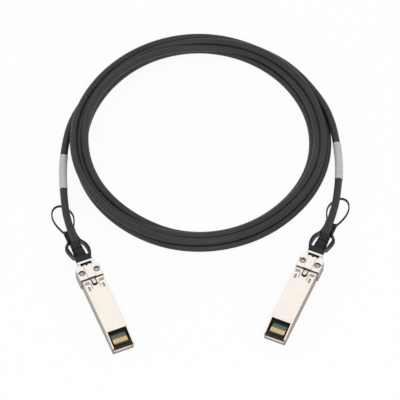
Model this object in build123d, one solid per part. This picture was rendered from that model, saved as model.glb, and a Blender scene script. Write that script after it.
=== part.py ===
from build123d import *
import math
import os

os.makedirs("parts", exist_ok=True)

# Direct attach copper cable: two pluggable plugs on one coiled twin-axial cable.
# World frame: +Z up from the floor, +Y away from the plug tips, +X to the right plug.
# Plug frame: tip at y = 0, y grows towards the cable, x across, z up from the underside.

OVERCUT = 1.0
FIT_GAP = 0.05
ROOT = 0.5

# Cable, and the parts that grip it
CABLE_RADIUS = 2.3
CABLE_Z = 4.1
FERRULE_WALL = 0.35
FERRULE_LENGTH = 4.5
FERRULE_EDGE = 0.12
FERRULE_RADIUS = CABLE_RADIUS + FERRULE_WALL
LABEL_THICK = 0.25
LABEL_LENGTH = 25.5

# Plug body
PLUG_WIDTH = 13.55
PLUG_HEIGHT = 8.5
SEAM_Z = 5.6
WALL = 0.8
FLOOR_THICK = 1.0
ROOF_THICK = 1.0
WINDOW_LENGTH = 10.8
WINDOW_FLOOR_STEP = 0.2
LIP_HEIGHT = 2.2
LIP_THICK = 0.9
TIP_WALL_HEIGHT = 5.95
TIP_ROUND = 0.7
TOP_EDGE_ROUND = 0.45
BODY_END = 49.4
BODY_HALF = PLUG_WIDTH / 2
NECK_FILL = 1.1
NECK_FILL_INSET = 0.1

# Nose, the wide part that stays outside the cage
NOSE_GAP = 1.1
NOSE_WIDTH = 15.0
NOSE_WIDE_LENGTH = 8.4
NOSE_SHOULDER = 2.3
NOSE_REAR_LENGTH = 1.8
NOSE_REAR_WIDTH = 10.0
NOSE_ROUND = 0.4
NOSE_SIDE_WALL = 1.1
NOSE_FRONT_WALL = 0.6
NOSE_REAR_WALL = 1.4
NOSE_FLOOR = 0.9
NOSE_START = BODY_END + NOSE_GAP
NOSE_SHOULDER_START = NOSE_START + NOSE_WIDE_LENGTH
NOSE_SHOULDER_END = NOSE_SHOULDER_START + NOSE_SHOULDER
NOSE_END = NOSE_SHOULDER_END + NOSE_REAR_LENGTH
CABLE_START = NOSE_START + 6.5
FERRULE_START = NOSE_START + 4.4
FERRULE_END = FERRULE_START + FERRULE_LENGTH
CRADLE_HALF = 2.6
CRADLE_DROP = 1.0

# Stack of moving parts in the nose, each on the one below it
LIP_CLEARANCE = 0.05
SLIDER_LIP_THICK = 0.2
LEVER_CLEARANCE = 0.1
LEVER_THICK = 0.65
SLIDER_THICK = 0.55
TONGUE_THICK = 0.85
CHANNEL_CLEARANCE = 0.1
COVER_THICK = 0.45
STRIP_THICK = 0.4
SLIDER_LIP_BOTTOM = CABLE_Z + FERRULE_RADIUS + LIP_CLEARANCE
SLIDER_LIP_TOP = SLIDER_LIP_BOTTOM + SLIDER_LIP_THICK
SLIDER_BOTTOM = SLIDER_LIP_TOP - 0.05
SLIDER_TOP = SLIDER_BOTTOM + SLIDER_THICK
LEVER_BOTTOM = SLIDER_LIP_TOP + LEVER_CLEARANCE
LEVER_TOP = LEVER_BOTTOM + LEVER_THICK
TONGUE_TOP = SLIDER_TOP + TONGUE_THICK
CHANNEL_TOP = TONGUE_TOP + CHANNEL_CLEARANCE
EAR_TOP = CHANNEL_TOP + COVER_THICK
STRIP_TOP = EAR_TOP + STRIP_THICK

# Nose cover
STRIP_WIDTH = 4.9
CHANNEL_HALF = 2.2
REAR_CHANNEL_HALF = 3.6
REAR_CHANNEL_STEP = 0.6
SLOT_LENGTH = 1.8
SLOT_WIDTH = 7.0
RIM = 1.3
SLOT_RAMP_HALF = 0.6
SLOT_RAMP_LENGTH = 1.1
SLOT_RAMP_DEPTH = 0.8
SLOT_END = NOSE_END - RIM
SLOT_START = SLOT_END - SLOT_LENGTH

# Screws of the nose cover
SCREW_X = 4.7
SCREW_Y = NOSE_START + 4.6
SCREW_SHANK_RADIUS = 0.75
SCREW_HEAD_RADIUS = 1.55
SCREW_HEAD_HEIGHT = 0.9
SCREW_HEAD_ROUND = 0.3
SCREW_SINK = 1.6
SCREW_BOTTOM_Z = 2.4
SCREW_POST_RADIUS = 1.75
SCREW_CROSS = 0.85
SCREW_CROSS_HALF = 0.22
SCREW_CROSS_FLOOR = 0.35
SCREW_SEAT_Z = EAR_TOP - SCREW_SINK
COUNTERBORE_RADIUS = 2.0
EAR_NOTCH_DEPTH = 1.0
EAR_NOTCH_FRONT = 0.7
EAR_NOTCH_REAR = 1.4

# Latch opening, ramps, long holes and grooves of the upper shell
OPENING_HALF = 1.75
OPENING_LENGTH = 5.1
OPENING_END = BODY_END - OPENING_LENGTH
RAMP_X = 4.6
RAMP_BACK = 2.0
RAMP_WIDTH = 3.2
RAMP_LENGTH = 2.1
RAMP_DEPTH = 0.6
RAMP_RISE = 0.45
OVAL_X = 4.55
OVAL_BACK = 6.2
OVAL_WIDTH = 1.4
OVAL_LENGTH = 3.4
GROOVE_X = 2.55
GROOVE_BACK = 4.8
GROOVE_LENGTH = 4.0
GROOVE_WIDTH = 0.45
GROOVE_DEPTH = 0.4
LATCH_RELIEF = 0.5

# Latch
PIVOT_Y = NOSE_START + 1.5
PIVOT_RISE = 0.4
PIVOT_Z = LEVER_BOTTOM + PIVOT_RISE
PIVOT_RADIUS = 0.5
PIVOT_HALF = 3.1
PIVOT_GAP = 0.05
PIVOT_POST_HALF = 0.35
LEVER_HALF = 1.9
LEVER_FRONT_REACH = 1.35
TAIL_REACH = 2.5
LEVER_TAIL = PIVOT_Y + TAIL_REACH
NECK_HALF = 1.1
NECK_THICK = 1.3
NECK_SINK = 0.05
NECK_TOP = PLUG_HEIGHT - NECK_SINK
NECK_REAR = BODY_END - 0.1
NECK_RISER_FRONT = NECK_REAR - 0.8
POST_LENGTH = 2.2
POST_BACK = BODY_END - 1.7
POST_TIP = POST_BACK - POST_LENGTH
POST_RISE = 1.1
POST_TOP = PLUG_HEIGHT + POST_RISE
POST_CHAMFER = 0.2
LEAF_LENGTH = 2.8
LEAF_THICK = 0.14
LEAF_RISE = 0.3
LEAF_HALF = 1.4

# Slider and pull tab
SLIDER_HALF = 3.2
SLIDER_FRONT = LEVER_TAIL + 2.9
SLIDER_LIP_FRONT = LEVER_TAIL - 0.8
SLIDER_LIP_HALF = 1.5
SLIDER_REAR = NOSE_END - 1.5
PEG_Y = NOSE_END - 2.4
PEG_RADIUS = 0.8
PEG_HEIGHT = 0.5
TONGUE_FRONT = NOSE_END - 3.8
TONGUE_HALF = 3.1
CROSSBAR_FRONT = NOSE_END + 0.5
CROSSBAR_LENGTH = 3.9
CROSSBAR_HALF = 4.9
CROSSBAR_THICK = 1.55
CROSSBAR_TOP = EAR_TOP
CROSSBAR_BOTTOM = CROSSBAR_TOP - CROSSBAR_THICK
LOOP_BAND = 0.85
TAB_LIFT = 0.1
COLLAR_LENGTH = 10.0
COLLAR_HALF = 3.7
COLLAR_SHIFT = -0.7
COLLAR_BASE = 1.05
COLLAR_WALL_TOP = 2.5
LOOP_THICK = 1.35
# The ring's arms as (distance behind the nose, distance to the outer side, width)
OUTER_ARM = [
    (1.6, 4.3, 1.2), (6.5, 4.9, 1.2), (11.5, 5.8, 2.1), (15.2, 5.9, 2.0), (18.0, 4.5, 1.6), (21.0, 2.7, 1.15), (28.5, 2.6, 1.15),
]
INNER_ARM = [
    (1.6, -4.3, 1.2), (4.5, -5.3, 1.4), (8.5, -6.1, 1.9), (12.5, -6.0, 2.0), (16.5, -5.0, 1.7), (21.0, -4.1, 1.15), (28.5, -4.05, 1.15),
]
# The finger loop's centre line as (distance behind the collar, distance to the outer side)
LOOP = [
    (-1.0, 2.5), (4.7, 4.5), (10.0, 5.3), (15.0, 4.4), (18.7, 1.0), (18.6, -2.4),
    (14.4, -6.0), (9.8, -7.2), (5.8, -6.5), (2.2, -4.9), (-1.0, -3.9),
]
# Side outline of the ring's arms behind the crossbar: top, then underside
ARM_TOP = [(4.6, 8.9), (8.0, 6.5), (15.5, 5.2), (20.0, 2.5)]
ARM_BOTTOM = [(18.0, 0.1), (14.0, 2.9), (6.2, 3.6), (3.0, 7.35)]

# Boot
BOOT_FLANGE_START = NOSE_END - 3.2
BOOT_FLANGE_END = NOSE_END - 1.5
BOOT_FLANGE_HALF = 4.0
BOOT_FLANGE_DROP = 2.9
BOOT_FLANGE_RISE = 2.7
BOOT_NECK_HALF = 3.3
BOOT_NECK_DROP = 2.8
BOOT_CORNER = 1.2
BOOT_BASE_START = NOSE_END + 0.15
BOOT_LENGTH = 16.45
BOOT_BASE_HALF_WIDTH = 4.3
BOOT_BASE_HALF_HEIGHT = 2.75
BOOT_END_WALL = 0.8
BOOT_CORE_INSET = 0.85
BOOT_CORE_DROP = 0.3
BOOT_END_CORE_INSET = 0.6
BOOT_SQUARENESS = 0.92
BOOT_GROOVE = 1.1
BOOT_GROOVES = (5.25, 11.25)
BOOT_SIDE_SLOTS = (8.25, 13.95)
BOOT_SPINE_HALF = 1.9
BOOT_END = BOOT_BASE_START + BOOT_LENGTH
BOOT_END_RADIUS = CABLE_RADIUS + BOOT_END_WALL
CABLE_LEAVE = BOOT_END + 12.4
COLLAR_FRONT = BOOT_END + 2.4
COLLAR_REAR = COLLAR_FRONT + COLLAR_LENGTH

# Card, at the height of the cable
CARD_DROP = 0.1
CARD_THICK = 1.0
CARD_BOTTOM = CABLE_Z - CARD_DROP
CARD_TOP = CARD_BOTTOM + CARD_THICK
CARD_FRONT = 3.2
CARD_REAR = 43.0
CARD_FINGER_HALF = 4.6
CARD_HALF = 5.6
CARD_SHOULDER_Y = 12.0
CARD_CORNER = 0.4
CARD_REST_X = 4.7
CARD_RESTS_Y = (14.0, 33.0)
CARD_REST_LENGTH = 7.0
CARD_STOP_X = 4.9
CARD_STOPS_Y = (20.0, 36.0)
CARD_STOP_LENGTH = 2.0
PAD_COUNT = 10
PAD_PITCH = 0.9
PAD_WIDTH = 0.74
PAD_START = 3.5
PAD_LENGTH = 3.0
PAD_THICK = 0.06
MEMORY_SIZE = 3.0
MEMORY_Y = 18.5
MEMORY_HEIGHT = 0.9
CAPACITOR_WIDTH = 0.6
CAPACITOR_LENGTH = 1.2
CAPACITOR_HEIGHT = 0.5
CAPACITORS = [(-3.4, 13.8), (-1.2, 13.8), (1.2, 13.8), (3.4, 13.8), (-3.2, 24.0), (3.2, 24.0)]
PAIR_X = 1.0
PAIR_WIDTH = 1.84
PAIR_HEIGHT = 0.92
PAIR_FRONT = CARD_REAR + 0.3
CORE_OFFSET = 0.45
CORE_RADIUS = 0.2
CORE_LENGTH = 2.7
PAIR_Z = CARD_TOP + CORE_RADIUS

# Coil of the cable and the two plug places
COIL_X = 0.28
COIL_Y = 95.74
COIL_OUTER = 80.4
COIL_WIDTH = 14.9
COIL_INNER = COIL_OUTER - COIL_WIDTH
COIL_HEIGHT = 10.5
COIL_ROUND = 4.0

LEFT_TIP = (-45.88, -53.42)
LEFT_TURN = 22.3
LEFT_ROUTE = [(-84.2, 62.9, 3.9), (-84.5, 86.0, 2.5), (-80.3, 113.0, 2.35), (-66.5, 136.5, 2.35)]
LEFT_LABEL_Y = 62.04

RIGHT_TIP = (44.02, -47.1)
RIGHT_TURN = -23.4
RIGHT_ROUTE = [(85.1, 69.0, 3.9), (84.6, 91.0, 3.3), (79.8, 116.5, 5.9), (66.5, 138.5, 6.35)]
RIGHT_LABEL_Y = 69.04


def block(x0, x1, y0, y1, z0, z1):
    """A box between two opposite corners."""
    return Pos((x0 + x1) / 2, (y0 + y1) / 2, (z0 + z1) / 2) * Box(abs(x1 - x0), y1 - y0, z1 - z0)


def even(half, y0, y1, z0, z1):
    """A box centred across the plug."""
    return block(-half, half, y0, y1, z0, z1)


def post(x, y, radius, z0, z1):
    """An upright cylinder."""
    return Pos(x, y, (z0 + z1) / 2) * Cylinder(radius, z1 - z0)


def rod_x(y, z, radius, half):
    """A cylinder across the plug."""
    return Pos(0, y, z) * Rot(0, 90, 0) * Cylinder(radius, 2 * half)


def rod_y(x, z, radius, y0, y1):
    """A cylinder along the plug."""
    return Pos(x, (y0 + y1) / 2, z) * Rot(90, 0, 0) * Cylinder(radius, y1 - y0)


def prism(points, z0, z1):
    """A plan outline raised between two heights."""
    return Pos(0, 0, z0) * extrude(make_face(Polyline(*points, close=True)), z1 - z0)


def side_prism(points, half):
    """A side outline of (y, z) points drawn out across the plug."""
    face = make_face(Polyline(*[(0, y, z) for y, z in points], close=True))
    return extrude(face, half, dir=(1, 0, 0), both=True)


def nose_plan(front):
    """Outline of the nose seen from above, with its shoulders."""
    wide = NOSE_WIDTH / 2
    slim = NOSE_REAR_WIDTH / 2
    return [
        (-wide, front),
        (wide, front),
        (wide, NOSE_SHOULDER_START),
        (slim, NOSE_SHOULDER_END),
        (slim, NOSE_END),
        (-slim, NOSE_END),
        (-slim, NOSE_SHOULDER_END),
        (-wide, NOSE_SHOULDER_START),
    ]


def lower_shell():
    inner = BODY_HALF - WALL
    roof = PLUG_HEIGHT + OVERCUT
    body = even(BODY_HALF, 0, BODY_END, 0, PLUG_HEIGHT)
    body = fillet(body.edges().filter_by(Axis.Z).sort_by(Axis.Y)[:2], TIP_ROUND)
    slope = [(0, TIP_WALL_HEIGHT), (WINDOW_LENGTH, PLUG_HEIGHT), (WINDOW_LENGTH, roof), (-OVERCUT, roof), (-OVERCUT, TIP_WALL_HEIGHT)]
    body -= side_prism(slope, BODY_HALF + OVERCUT)
    body -= even(BODY_HALF + OVERCUT, WINDOW_LENGTH, BODY_END + OVERCUT, SEAM_Z, roof)
    body -= even(inner, LIP_THICK, WINDOW_LENGTH + FIT_GAP, FLOOR_THICK + WINDOW_FLOOR_STEP, roof)
    body -= even(inner, -OVERCUT, LIP_THICK + FIT_GAP, LIP_HEIGHT, roof)
    body -= even(inner, WINDOW_LENGTH, BODY_END + OVERCUT, FLOOR_THICK, SEAM_Z + OVERCUT)

    nose = prism(nose_plan(NOSE_START - ROOT), 0, SEAM_Z)
    nose = fillet(nose.edges().filter_by(Axis.Z).sort_by(Axis.Y)[:2], NOSE_ROUND)
    room = SEAM_Z + OVERCUT
    rear = NOSE_END - NOSE_REAR_WALL
    nose -= even(NOSE_WIDTH / 2 - NOSE_SIDE_WALL, NOSE_START + NOSE_FRONT_WALL, NOSE_SHOULDER_START - NOSE_FRONT_WALL, FLOOR_THICK, room)
    nose -= even(REAR_CHANNEL_HALF + REAR_CHANNEL_STEP, NOSE_SHOULDER_START - OVERCUT, rear, NOSE_FLOOR, room)
    nose -= even(BOOT_NECK_HALF + FIT_GAP, rear - OVERCUT, NOSE_END + OVERCUT, NOSE_FLOOR, room)

    shell = body + nose
    shell += even(BODY_HALF, BODY_END, NOSE_START, 0, SEAM_Z)
    fill = even(BODY_HALF - NECK_FILL_INSET, BODY_END + FIT_GAP, NOSE_START - FIT_GAP, SEAM_Z, SEAM_Z + NECK_FILL)
    shell += fill
    for side in (-1, 1):
        shell += post(side * SCREW_X, SCREW_Y, SCREW_POST_RADIUS, ROOT, SEAM_Z)
        support = side * (PIVOT_HALF + PIVOT_POST_HALF - 0.1)
        shell += block(
            support - PIVOT_POST_HALF, support + PIVOT_POST_HALF,
            PIVOT_Y - PIVOT_RADIUS + 0.1, PIVOT_Y + PIVOT_RADIUS - 0.1, ROOT, PIVOT_Z - PIVOT_RADIUS,
        )
        shell -= post(side * SCREW_X, SCREW_Y, SCREW_SHANK_RADIUS, SCREW_BOTTOM_Z, room)
        for y in CARD_RESTS_Y:
            shell += block(side * inner, side * CARD_REST_X, y, y + CARD_REST_LENGTH, ROOT, CARD_BOTTOM)
    shell -= even(CHANNEL_HALF, BODY_END - OVERCUT, NOSE_START + OVERCUT, FLOOR_THICK, SEAM_Z + OVERCUT)
    shell -= even(LEVER_HALF + 0.2, BODY_END - OVERCUT, NOSE_START + ROOT, SEAM_Z, SEAM_Z + NECK_FILL + OVERCUT)
    cradle = even(CRADLE_HALF, FERRULE_START + 0.3, FERRULE_END - 0.6, ROOT, CABLE_Z - CRADLE_DROP)
    return shell + (cradle - rod_y(0, CABLE_Z, FERRULE_RADIUS, FERRULE_START - OVERCUT, FERRULE_END + OVERCUT))


def long_hole(width, length, z0, z1):
    """A hole with round ends, along the plug."""
    reach = (length - width) / 2
    hole = even(width / 2, -reach, reach, z0, z1)
    for end in (-1, 1):
        hole += post(0, end * reach, width / 2, z0, z1)
    return hole


def upper_shell():
    inner = BODY_HALF - WALL
    ceiling = PLUG_HEIGHT - ROOF_THICK
    roof = PLUG_HEIGHT + OVERCUT
    shell = even(BODY_HALF, WINDOW_LENGTH + FIT_GAP, BODY_END, SEAM_Z, PLUG_HEIGHT)
    shell = fillet(shell.edges().filter_by(Axis.Y).group_by(Axis.Z)[-1], TOP_EDGE_ROUND)
    shell -= even(inner, WINDOW_LENGTH - OVERCUT, BODY_END - WALL, SEAM_Z - OVERCUT, ceiling)
    opening = even(OPENING_HALF, OPENING_END + OPENING_HALF, BODY_END + OVERCUT, SEAM_Z - OVERCUT, roof)
    shell -= opening + post(0, OPENING_END + OPENING_HALF, OPENING_HALF, SEAM_Z, roof)
    shell -= even(LEVER_HALF + 0.3, BODY_END - OVERCUT, BODY_END + OVERCUT, SEAM_Z - OVERCUT, ceiling + LATCH_RELIEF)
    front = BODY_END - RAMP_BACK - RAMP_LENGTH / 2
    rear = front + RAMP_LENGTH
    low = PLUG_HEIGHT - RAMP_DEPTH
    ramp = side_prism([(front, low), (rear, low + RAMP_RISE), (rear, roof), (front, roof)], RAMP_WIDTH / 2)
    hole = long_hole(OVAL_WIDTH, OVAL_LENGTH, ceiling - ROOT, roof)
    groove = even(GROOVE_WIDTH / 2, -GROOVE_LENGTH / 2, GROOVE_LENGTH / 2, PLUG_HEIGHT - GROOVE_DEPTH, roof)
    for side in (-1, 1):
        shell -= Pos(side * RAMP_X, 0, 0) * ramp
        shell -= Pos(side * OVAL_X, BODY_END - OVAL_BACK, 0) * hole
        shell -= Pos(side * GROOVE_X, BODY_END - GROOVE_BACK, 0) * groove
        for y in CARD_STOPS_Y:
            shell += block(side * inner, side * CARD_STOP_X, y, y + CARD_STOP_LENGTH, CARD_TOP + FIT_GAP, ceiling + FIT_GAP)
    return shell


def nose_cover():
    below = SEAM_Z - OVERCUT
    above = STRIP_TOP + OVERCUT
    cover = prism(nose_plan(NOSE_START), SEAM_Z, EAR_TOP)
    cover = fillet(cover.edges().filter_by(Axis.Z).sort_by(Axis.Y)[:2], NOSE_ROUND)
    cover += even(STRIP_WIDTH / 2, NOSE_START, NOSE_END, EAR_TOP - COVER_THICK, STRIP_TOP)
    cover += even(NOSE_REAR_WIDTH / 2, SLOT_END, NOSE_END, EAR_TOP - COVER_THICK, STRIP_TOP)
    cover -= even(CHANNEL_HALF, NOSE_START - OVERCUT, SLIDER_FRONT, below, CHANNEL_TOP)
    cover -= even(REAR_CHANNEL_HALF, SLIDER_FRONT - 0.3, NOSE_END + OVERCUT, below, CHANNEL_TOP)
    flange_room = CABLE_Z + BOOT_FLANGE_RISE + 0.2
    cover -= even(REAR_CHANNEL_HALF + REAR_CHANNEL_STEP, NOSE_SHOULDER_START - OVERCUT, NOSE_END - NOSE_REAR_WALL, below, flange_room)
    cover -= even(SLOT_WIDTH / 2, SLOT_START, SLOT_END, CHANNEL_TOP - COVER_THICK, above)
    edge = SLOT_START + 0.1
    ramp = [(edge - SLOT_RAMP_LENGTH, STRIP_TOP + 0.2), (edge, STRIP_TOP - SLOT_RAMP_DEPTH), (edge, above)]
    cover -= side_prism(ramp, SLOT_RAMP_HALF)
    gap = PIVOT_RADIUS + PIVOT_GAP
    for side in (-1, 1):
        cover -= post(side * SCREW_X, SCREW_Y, COUNTERBORE_RADIUS, SCREW_SEAT_Z, above)
        cover -= post(side * SCREW_X, SCREW_Y, SCREW_SHANK_RADIUS + FIT_GAP, below, above)
        cover -= block(
            side * SCREW_X, side * (NOSE_WIDTH / 2 + OVERCUT),
            SCREW_Y - EAR_NOTCH_FRONT, SCREW_Y + EAR_NOTCH_REAR, EAR_TOP - EAR_NOTCH_DEPTH, above,
        )
    bearing = PIVOT_HALF + 2 * PIVOT_POST_HALF
    cover -= even(bearing, PIVOT_Y - gap, PIVOT_Y + gap, below, PIVOT_Z) + rod_x(PIVOT_Y, PIVOT_Z, gap, bearing)
    return cover - rod_y(0, CABLE_Z, FERRULE_RADIUS + 0.1, NOSE_START - OVERCUT, NOSE_END + OVERCUT)


def cover_screws():
    shank = post(0, 0, SCREW_SHANK_RADIUS, SCREW_BOTTOM_Z, SCREW_SEAT_Z + SCREW_CROSS_FLOOR)
    head = post(0, 0, SCREW_HEAD_RADIUS, SCREW_SEAT_Z, SCREW_SEAT_Z + SCREW_HEAD_HEIGHT)
    head = fillet(head.edges().group_by(Axis.Z)[-1], SCREW_HEAD_ROUND)
    bar = even(SCREW_CROSS_HALF, -SCREW_CROSS, SCREW_CROSS, SCREW_SEAT_Z + SCREW_CROSS_FLOOR, SCREW_SEAT_Z + 2 * SCREW_HEAD_HEIGHT)
    screw = shank + head - (bar + Rot(0, 0, 90) * bar)
    return [Pos(side * SCREW_X, SCREW_Y, 0) * screw for side in (-1, 1)]


def paddle_card():
    half = [
        (CARD_FINGER_HALF - CARD_CORNER, CARD_FRONT),
        (CARD_FINGER_HALF, CARD_FRONT + CARD_CORNER),
        (CARD_FINGER_HALF, CARD_SHOULDER_Y),
        (CARD_HALF, CARD_SHOULDER_Y),
        (CARD_HALF, CARD_REAR),
    ]
    return prism(half + [(-x, y) for x, y in reversed(half)], CARD_BOTTOM, CARD_TOP)


def contact_pads():
    group = []
    for i in range(PAD_COUNT):
        x = (i - (PAD_COUNT - 1) / 2) * PAD_PITCH
        for z0 in (CARD_TOP, CARD_BOTTOM - PAD_THICK):
            group.append(block(x - PAD_WIDTH / 2, x + PAD_WIDTH / 2, PAD_START, PAD_START + PAD_LENGTH, z0, z0 + PAD_THICK))
    return group


def card_chips():
    memory = Pos(0, MEMORY_Y, CARD_TOP + MEMORY_HEIGHT / 2) * Box(MEMORY_SIZE, MEMORY_SIZE, MEMORY_HEIGHT)
    capacitor = Pos(0, 0, CARD_TOP + CAPACITOR_HEIGHT / 2) * Box(CAPACITOR_WIDTH, CAPACITOR_LENGTH, CAPACITOR_HEIGHT)
    return [memory] + [Pos(x, y, 0) * capacitor for x, y in CAPACITORS]


def signal_pairs():
    section = SlotOverall(PAIR_WIDTH, PAIR_HEIGHT)
    group = []
    for side in (-1, 1):
        start = Plane(origin=(side * PAIR_X, PAIR_FRONT, PAIR_Z), x_dir=(1, 0, 0), z_dir=(0, 1, 0))
        group.append(extrude(start * section, CABLE_START - PAIR_FRONT))
    return group


def pair_cores():
    group = []
    for side in (-1, 1):
        for twin in (-1, 1):
            x = side * PAIR_X + twin * CORE_OFFSET
            group.append(rod_y(x, PAIR_Z, CORE_RADIUS, PAIR_FRONT - CORE_LENGTH, PAIR_FRONT))
    return group


def shield_ferrule():
    ring = rod_y(0, CABLE_Z, FERRULE_RADIUS, FERRULE_START, FERRULE_END)
    ring -= rod_y(0, CABLE_Z, CABLE_RADIUS, FERRULE_START - OVERCUT, FERRULE_END + OVERCUT)
    edges = ring.edges().filter_by(GeomType.CIRCLE).sort_by(Axis.Y)
    return chamfer([edges[0], edges[-1]], FERRULE_EDGE)


def latch():
    lever = even(LEVER_HALF, PIVOT_Y - LEVER_FRONT_REACH, LEVER_TAIL, LEVER_BOTTOM, LEVER_TOP)
    arm = even(NECK_HALF, NECK_RISER_FRONT, PIVOT_Y, LEVER_BOTTOM, LEVER_TOP)
    low = min(LEVER_BOTTOM, NECK_TOP - NECK_THICK)
    high = max(LEVER_TOP, NECK_TOP)
    riser = even(NECK_HALF, NECK_RISER_FRONT, NECK_REAR, low, high)
    round_y = POST_TIP + NECK_HALF
    neck = even(NECK_HALF, round_y, NECK_REAR, NECK_TOP - NECK_THICK, NECK_TOP)
    neck += post(0, round_y, NECK_HALF, NECK_TOP - NECK_THICK, NECK_TOP)
    pin = post(0, round_y, NECK_HALF, NECK_TOP - 0.1, POST_TOP)
    pin += even(NECK_HALF, round_y, POST_BACK, NECK_TOP - 0.1, POST_TOP)
    pin = chamfer(pin.edges().group_by(Axis.Z)[-1], POST_CHAMFER)
    return lever + arm + riser + neck + pin + rod_x(PIVOT_Y, PIVOT_Z, PIVOT_RADIUS, PIVOT_HALF)


def latch_spring():
    rear = LEVER_TAIL - 0.1
    front = rear - LEAF_LENGTH
    bend = rear - LEAF_LENGTH * 0.4
    crest = rear - LEAF_LENGTH * 0.7
    foot = LEVER_TOP
    tip = foot + LEAF_RISE
    outline = [
        (rear, foot), (rear, foot + LEAF_THICK), (bend, foot + LEAF_THICK), (crest, tip + LEAF_THICK),
        (front, tip + LEAF_THICK), (front, tip), (crest - 0.1, tip), (bend - 0.1, foot),
    ]
    return side_prism(outline, LEAF_HALF)


def latch_slider():
    joint = SLIDER_FRONT + 0.2
    plate = even(SLIDER_HALF, SLIDER_FRONT + 0.1, SLIDER_REAR, SLIDER_BOTTOM, SLIDER_TOP)
    lip = even(SLIDER_LIP_HALF, SLIDER_LIP_FRONT, joint, SLIDER_LIP_BOTTOM, SLIDER_LIP_TOP)
    riser = even(SLIDER_LIP_HALF, SLIDER_FRONT - 0.4, joint, SLIDER_LIP_BOTTOM, SLIDER_TOP)
    return plate + lip + riser + post(0, PEG_Y, PEG_RADIUS, SLIDER_TOP - 0.1, SLIDER_TOP + PEG_HEIGHT)


def boot_section(y, half_width, half_height):
    plane = Plane(origin=(0, y, CABLE_Z), x_dir=(1, 0, 0), z_dir=(0, 1, 0))
    return plane * RectangleRounded(2 * half_width, 2 * half_height, min(half_width, half_height) * BOOT_SQUARENESS)


def boot():
    low = CABLE_Z - BOOT_FLANGE_DROP
    top = CABLE_Z + BOOT_FLANGE_RISE
    flange = even(BOOT_FLANGE_HALF, BOOT_FLANGE_START, BOOT_FLANGE_END, low, top)
    flange = fillet(flange.edges().filter_by(Axis.Y), BOOT_CORNER)
    neck = even(BOOT_NECK_HALF, BOOT_FLANGE_END - 0.1, BOOT_BASE_START + 0.1, CABLE_Z - BOOT_NECK_DROP, top)
    neck = fillet(neck.edges().filter_by(Axis.Y), BOOT_CORNER)
    body = loft([
        boot_section(BOOT_BASE_START, BOOT_BASE_HALF_WIDTH, BOOT_BASE_HALF_HEIGHT),
        boot_section(BOOT_END, BOOT_END_RADIUS, BOOT_END_RADIUS - 0.02),
    ])
    core = loft([
        boot_section(BOOT_BASE_START, BOOT_BASE_HALF_WIDTH - BOOT_CORE_INSET, BOOT_BASE_HALF_HEIGHT - BOOT_CORE_DROP),
        boot_section(BOOT_END, BOOT_END_RADIUS - BOOT_END_CORE_INSET, BOOT_END_RADIUS - BOOT_END_CORE_INSET),
    ])
    wide = 2 * BOOT_BASE_HALF_WIDTH
    for offset in BOOT_GROOVES:
        y = BOOT_BASE_START + offset
        body -= even(wide, y - BOOT_GROOVE / 2, y + BOOT_GROOVE / 2, CABLE_Z - wide, CABLE_Z + wide) - core
    for offset in BOOT_SIDE_SLOTS:
        y = BOOT_BASE_START + offset
        for side in (-1, 1):
            slot = block(side * BOOT_SPINE_HALF, side * wide, y - BOOT_GROOVE / 2, y + BOOT_GROOVE / 2, CABLE_Z - wide, CABLE_Z + wide)
            body -= slot - core
    return flange + neck + body - rod_y(0, CABLE_Z, CABLE_RADIUS, BOOT_FLANGE_START - OVERCUT, BOOT_END + OVERCUT)


def pull_tab(out):
    """The flexed pull tab. The sign of out gives the side it bends away from."""
    def arm(points):
        right = [(out * (x + width / 2), NOSE_END + y) for y, x, width in points]
        left = [(out * (x - width / 2), NOSE_END + y) for y, x, width in points]
        rim = [Spline(*right), Line(right[-1], left[-1]), Spline(*left[::-1]), Line(left[0], right[0])]
        return extrude(make_face(rim), OVERCUT + EAR_TOP)

    top = [(NOSE_END + y, z) for y, z in ARM_TOP]
    bottom = [(NOSE_END + y, z) for y, z in ARM_BOTTOM]
    outline = (
        [(CROSSBAR_FRONT, CROSSBAR_BOTTOM), (CROSSBAR_FRONT, CROSSBAR_TOP)] + top
        + [(COLLAR_REAR, COLLAR_WALL_TOP), (COLLAR_REAR, TAB_LIFT)] + bottom
    )
    tab = (arm(OUTER_ARM) + arm(INNER_ARM)) & side_prism(outline, PLUG_WIDTH)
    tab += even(CROSSBAR_HALF, CROSSBAR_FRONT, CROSSBAR_FRONT + CROSSBAR_LENGTH, CROSSBAR_BOTTOM, CROSSBAR_TOP)
    tab += even(TONGUE_HALF, TONGUE_FRONT, CROSSBAR_FRONT + ROOT, SLIDER_TOP, TONGUE_TOP)
    tab -= post(0, PEG_Y, PEG_RADIUS, SLIDER_TOP - OVERCUT, SLIDER_TOP + PEG_HEIGHT)
    inner, outer = COLLAR_SHIFT - COLLAR_HALF, COLLAR_SHIFT + COLLAR_HALF
    tab += block(out * inner, out * outer, COLLAR_FRONT, COLLAR_REAR, TAB_LIFT, TAB_LIFT + COLLAR_BASE)
    loop = trace(Spline(*[(out * x, COLLAR_REAR + y) for y, x in LOOP]), LOOP_BAND)
    return tab + Pos(0, 0, TAB_LIFT) * extrude(loop, LOOP_THICK)


def plug_pieces(out):
    return {
        "lower_shell": lower_shell(),
        "upper_shell": upper_shell(),
        "nose_cover": nose_cover(),
        "cover_screws": cover_screws(),
        "paddle_card": paddle_card(),
        "contact_pads": contact_pads(),
        "card_chips": card_chips(),
        "signal_pairs": signal_pairs(),
        "pair_cores": pair_cores(),
        "shield_ferrule": shield_ferrule(),
        "boot": boot(),
        "latch": latch(),
        "latch_spring": latch_spring(),
        "latch_slider": latch_slider(),
        "pull_tab": pull_tab(out),
    }


def tail_route(tip, turn, route):
    """Corner points of one uncoiled stretch, from inside the plug to the coil."""
    angle = math.radians(turn)
    inside = []
    for y in (CABLE_START, CABLE_LEAVE):
        inside.append((tip[0] - math.sin(angle) * y, tip[1] + math.cos(angle) * y, CABLE_Z))
    return [Vector(*p) for p in inside + route]


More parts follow.
